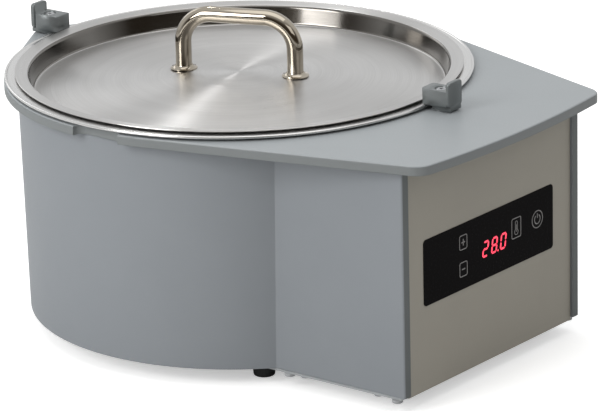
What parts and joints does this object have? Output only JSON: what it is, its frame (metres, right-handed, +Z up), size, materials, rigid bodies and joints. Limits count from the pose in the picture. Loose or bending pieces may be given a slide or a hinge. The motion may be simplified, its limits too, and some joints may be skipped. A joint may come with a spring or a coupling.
{
  "type": "heated wax bath",
  "caption": "Table-top heated bath: round drum with a control box in front, a sunken lid with a bar handle over a lift-out pan, and turn buttons that hold the pan.",
  "frame": {"origin": "on the table, below the middle of the object's own box in X and Y", "axes": "+Z up, -Y towards the user at the control side, +X to the user's right; the round pan's axis is at y = 0.0368"},
  "size_m": [0.4004, 0.5212, 0.2714],
  "materials": {
    "housing": "satin grey moulding",
    "plate": "light grey satin moulding",
    "turned_steel": "fine concentric turning marks",
    "pan_steel": "satin stainless",
    "polished_steel": "polished stainless",
    "button_metal": "satin, softly rounded edges",
    "screw_steel": "bright zinc",
    "panel_paint": "matt grey",
    "overlay_black": "gloss black",
    "key_black": "gloss black with a pale outline",
    "display_window": "dark red window with lit segments",
    "base_metal": "pale grey",
    "pad_grey": "grey",
    "foot_rubber": "matt black",
    "seal_silicone": "dark silicone",
    "heater_silicone": "orange silicone mat",
    "insulation_felt": "pale felt",
    "well_aluminium": "plain spun",
    "board_green": "green board",
    "part_black": "black moulding",
    "core_iron": "varnished core",
    "can_blue": "sleeved cans",
    "pin_brass": "plated contacts"
  },
  "bodies": {
    "bath": {"backing_plate": "well_aluminium", "base_plate": "base_metal", "base_screws": "screw_steel", "board_screws": "screw_steel", "board_standoffs": "pin_brass", "capacitors": "can_blue", "clamp_screws": "screw_steel", "clamp_washers": "screw_steel", "control_board": "board_green", "control_frame": "part_black", "control_overlay": "overlay_black", "corner_pads": "pad_grey", "display": "display_window", "earth_stud": "pin_brass", "foot_front_left": "foot_rubber", "foot_front_right": "foot_rubber", "foot_rear_left": "foot_rubber", "foot_rear_right": "foot_rubber", "foot_screws": "screw_steel", "front_panel": "panel_paint", "heat_sink": "well_aluminium", "heater_mat": "heater_silicone", "heater_pillars": "screw_steel", "inlet_pins": "pin_brass", "inlet_screws": "screw_steel", "insulation": "insulation_felt", "key_switches": "part_black", "mains_inlet": "part_black", "pan": "pan_steel", "pan_gasket": "seal_silicone", "power_board": "board_green", "probe_spring": "screw_steel", "relay": "part_black", "shell": "housing", "temperature_probe": "pin_brass", "terminal_block": "part_black", "thermal_cutout": "part_black", "tie_screws": "screw_steel", "top_plate": "plate", "transformer": "core_iron", "triac": "part_black", "well": "well_aluminium"},
    "lid": {"lid": "turned_steel", "handle": "polished_steel", "handle_collar_1": "polished_steel", "handle_collar_2": "polished_steel"},
    "front_button": {"clamp_front": "button_metal"},
    "rear_button": {"clamp_rear": "button_metal"},
    "plus_key": {"key_plus": "key_black"},
    "minus_key": {"key_minus": "key_black"},
    "mode_key": {"key_mode": "key_black"},
    "power_key": {"key_power": "key_black"}
  },
  "joints": [
    {"name": "lid_lift", "type": "slide", "parent": "bath", "child": "lid", "axis": [0, 0, 1], "range_m": [0, 0.15]},
    {"name": "rear_button_turn", "type": "hinge", "parent": "bath", "child": "rear_button", "pos_m": [-0.00912, 0.24565, 0.217], "axis": [0, 0, 1], "range_deg": [-90, 90]},
    {"name": "front_button_turn", "type": "hinge", "parent": "bath", "child": "front_button", "pos_m": [0.00912, -0.17195, 0.217], "axis": [0, 0, 1], "range_deg": [-90, 90]},
    {"name": "plus_key_press", "type": "slide", "parent": "bath", "child": "plus_key", "axis": [0, 1, 0], "range_m": [0, 0.0006], "stiffness_N_per_m": 800, "springref_m": -0.0005},
    {"name": "minus_key_press", "type": "slide", "parent": "bath", "child": "minus_key", "axis": [0, 1, 0], "range_m": [0, 0.0006], "stiffness_N_per_m": 800, "springref_m": -0.0005},
    {"name": "mode_key_press", "type": "slide", "parent": "bath", "child": "mode_key", "axis": [0, 1, 0], "range_m": [0, 0.0006], "stiffness_N_per_m": 800, "springref_m": -0.0005},
    {"name": "power_key_press", "type": "slide", "parent": "bath", "child": "power_key", "axis": [0, 1, 0], "range_m": [0, 0.0006], "stiffness_N_per_m": 800, "springref_m": -0.0005}
  ]
}
